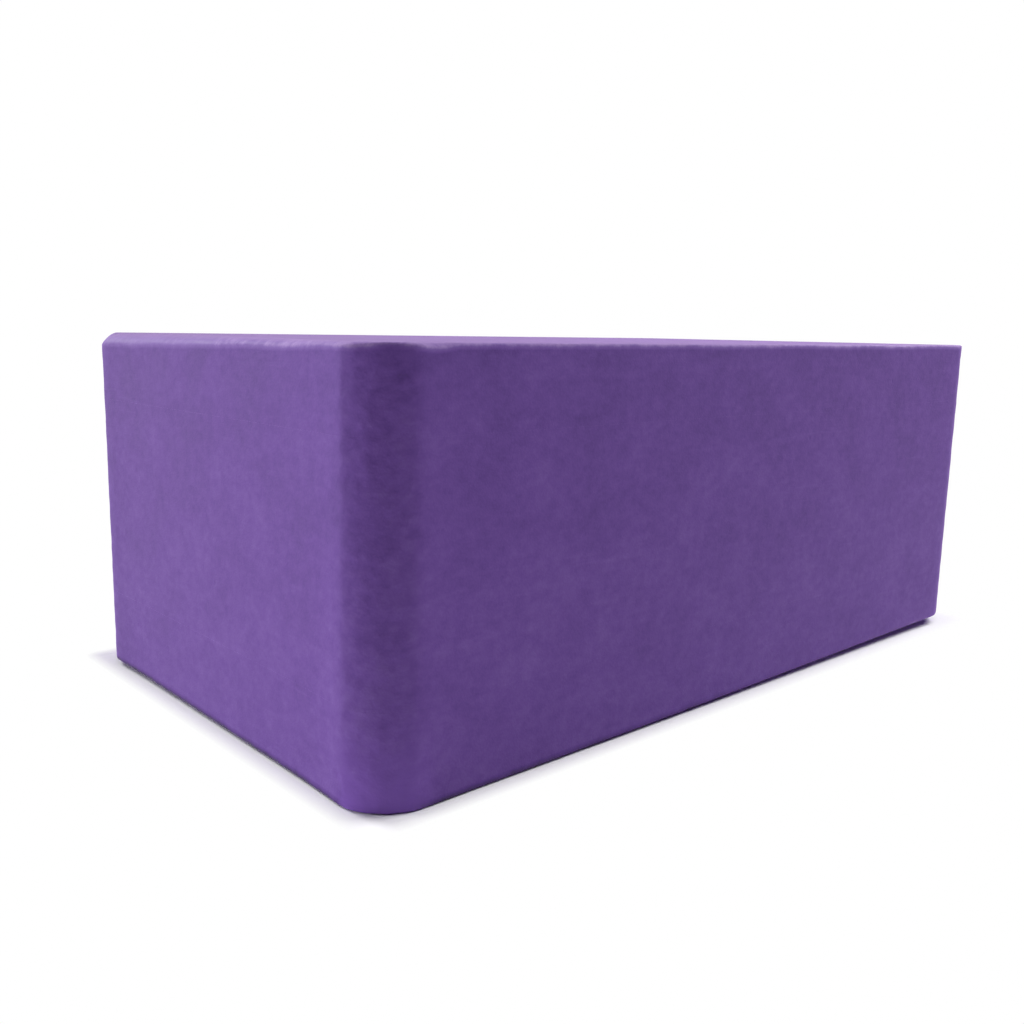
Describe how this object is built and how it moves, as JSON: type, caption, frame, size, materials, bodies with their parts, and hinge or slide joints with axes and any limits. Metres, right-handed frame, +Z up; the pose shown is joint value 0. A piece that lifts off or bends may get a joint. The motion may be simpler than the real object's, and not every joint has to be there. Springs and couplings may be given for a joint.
{
  "type": "yoga block",
  "caption": "Foam yoga block with rounded upright corners and softened rims, built up from glued sheets, used as a firm support at different heights.",
  "frame": {"origin": "centre of the underside, the largest face, on which the block lies", "axes": "+X along the block's length, +Y across its width, +Z up through its thickness"},
  "size_m": [0.23, 0.13, 0.0885],
  "materials": {
    "foam": "matt purple closed-cell EVA foam with a fine cut grain",
    "glue": "dull film of contact adhesive, tinted by the foam"
  },
  "bodies": {
    "root": {"bottom_foam_sheet": "foam", "core_foam_sheet": "foam", "top_foam_sheet": "foam", "lower_glue_film": "glue", "upper_glue_film": "glue"}
  },
  "joints": []
}
